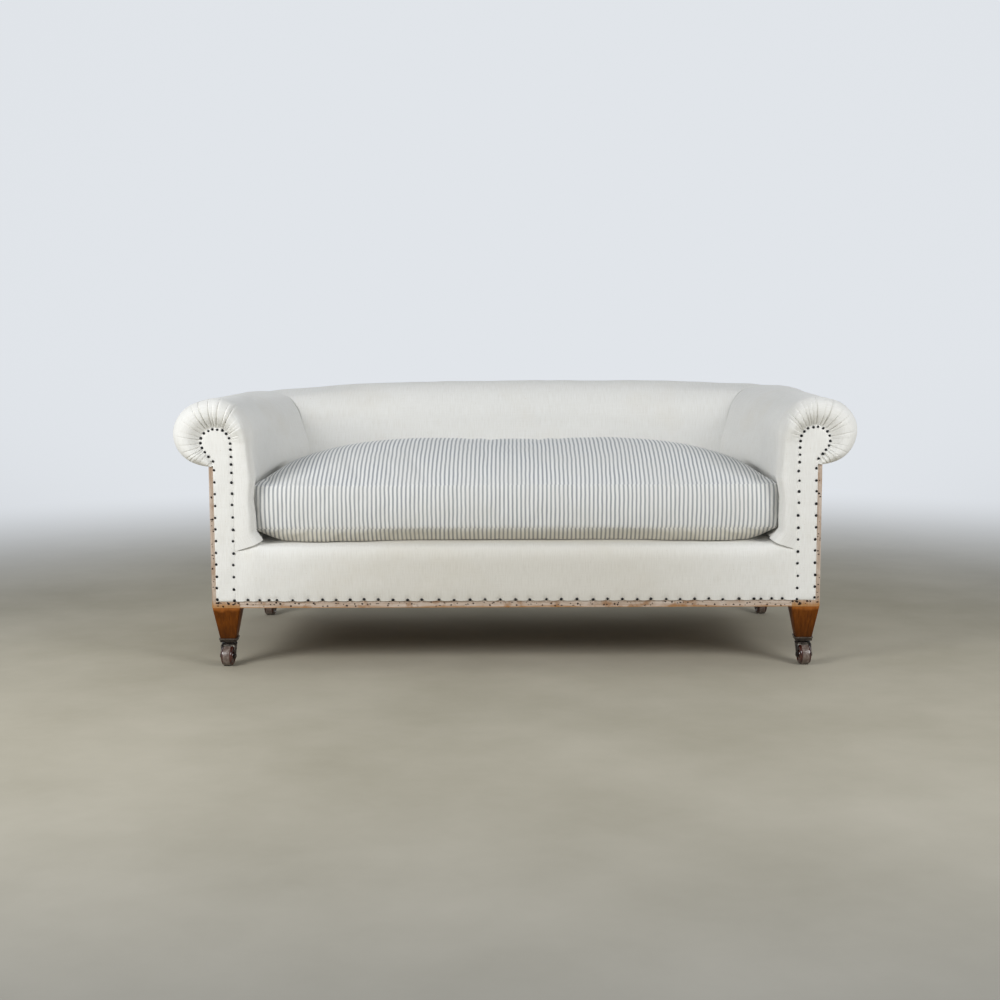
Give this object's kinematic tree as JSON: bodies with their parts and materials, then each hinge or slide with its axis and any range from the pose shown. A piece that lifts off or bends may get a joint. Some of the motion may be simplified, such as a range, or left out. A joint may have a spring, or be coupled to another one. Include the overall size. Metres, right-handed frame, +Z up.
{
  "type": "chesterfield sofa",
  "caption": "Low rolled-arm sofa upholstered in calico, with a loose striped feather cushion, tapered wooden legs and swivelling castors, for sitting.",
  "frame": {"origin": "middle of the footprint, on the floor under the castor wheels", "axes": "+X along the length of the sofa, to the right as seen from the front; +Y from the front to the back; +Z up"},
  "size_m": [1.76, 0.88, 0.7175],
  "materials": {
    "beech": "bare, with old tack holes",
    "mahogany": "polished",
    "bronze": "dark, worn patina",
    "glazed_wheel": "glossy brown glaze",
    "steel": "drawn wire",
    "jute": "coarse woven",
    "calico": "unbleached plain weave",
    "ticking": "striped twill"
  },
  "bodies": {
    "sofa": {"front_seat_rail": "beech", "back_seat_rail": "beech", "seat_cross_rail": "beech", "back_top_rail": "beech", "back_lower_rail": "beech", "back_centre_upright": "beech", "side_seat_rail_left": "beech", "arm_front_post_left": "beech", "arm_top_rail_left": "beech", "arm_lower_rail_left": "beech", "back_post_left": "beech", "front_leg_left": "mahogany", "arm_pad_left": "calico", "arm_facing_left": "calico", "outside_arm_panel_left": "calico", "side_seat_rail_right": "beech", "arm_front_post_right": "beech", "arm_top_rail_right": "beech", "arm_lower_rail_right": "beech", "back_post_right": "beech", "front_leg_right": "mahogany", "arm_pad_right": "calico", "arm_facing_right": "calico", "outside_arm_panel_right": "calico", "castor_cup_front_left": "bronze", "castor_cup_front_right": "bronze", "castor_cup_rear_left": "bronze", "castor_cup_rear_right": "bronze", "seat_spring_01": "steel", "seat_spring_02": "steel", "seat_spring_03": "steel", "seat_spring_04": "steel", "seat_spring_05": "steel", "seat_spring_06": "steel", "seat_spring_07": "steel", "seat_spring_08": "steel", "seat_spring_09": "steel", "seat_spring_10": "steel", "seat_spring_11": "steel", "seat_spring_12": "steel", "seat_webbing": "jute", "seat_hessian": "jute", "seat_pad": "calico", "back_pad": "calico", "outside_back_panel": "calico"},
    "castor_front_left": {"castor_fork_front_left": "bronze", "castor_axle_front_left": "bronze"},
    "wheel_front_left": {"castor_wheel_front_left": "glazed_wheel"},
    "castor_front_right": {"castor_fork_front_right": "bronze", "castor_axle_front_right": "bronze"},
    "wheel_front_right": {"castor_wheel_front_right": "glazed_wheel"},
    "castor_rear_left": {"castor_fork_rear_left": "bronze", "castor_axle_rear_left": "bronze"},
    "wheel_rear_left": {"castor_wheel_rear_left": "glazed_wheel"},
    "castor_rear_right": {"castor_fork_rear_right": "bronze", "castor_axle_rear_right": "bronze"},
    "wheel_rear_right": {"castor_wheel_rear_right": "glazed_wheel"},
    "cushion": {"seat_cushion": "ticking"}
  },
  "joints": [
    {"name": "castor_swivel_front_left", "type": "hinge", "parent": "sofa", "child": "castor_front_left", "pos_m": [-0.753, -0.39, 0.02578], "axis": [0, 0, 1], "continuous": true},
    {"name": "wheel_turn_front_left", "type": "hinge", "parent": "castor_front_left", "child": "wheel_front_left", "pos_m": [-0.75412, -0.40596, 0.02578], "axis": [0.9976, -0.0698, 0], "continuous": true},
    {"name": "castor_swivel_front_right", "type": "hinge", "parent": "sofa", "child": "castor_front_right", "pos_m": [0.753, -0.39, 0.02578], "axis": [0, 0, 1], "continuous": true},
    {"name": "wheel_turn_front_right", "type": "hinge", "parent": "castor_front_right", "child": "wheel_front_right", "pos_m": [0.75412, -0.40596, 0.02578], "axis": [0.9976, 0.0698, 0], "continuous": true},
    {"name": "castor_swivel_rear_left", "type": "hinge", "parent": "sofa", "child": "castor_rear_left", "pos_m": [-0.75542, 0.31542, 0.02578], "axis": [0, 0, 1], "continuous": true},
    {"name": "wheel_turn_rear_left", "type": "hinge", "parent": "castor_rear_left", "child": "wheel_rear_left", "pos_m": [-0.75653, 0.29946, 0.02578], "axis": [0.9976, -0.0698, 0], "continuous": true},
    {"name": "castor_swivel_rear_right", "type": "hinge", "parent": "sofa", "child": "castor_rear_right", "pos_m": [0.75542, 0.31542, 0.02578], "axis": [0, 0, 1], "continuous": true},
    {"name": "wheel_turn_rear_right", "type": "hinge", "parent": "castor_rear_right", "child": "wheel_rear_right", "pos_m": [0.75653, 0.29946, 0.02578], "axis": [0.9976, 0.0698, 0], "continuous": true},
    {"name": "cushion_lift", "type": "slide", "parent": "sofa", "child": "cushion", "axis": [0, 0, 1], "range_m": [0, 0.45]}
  ]
}
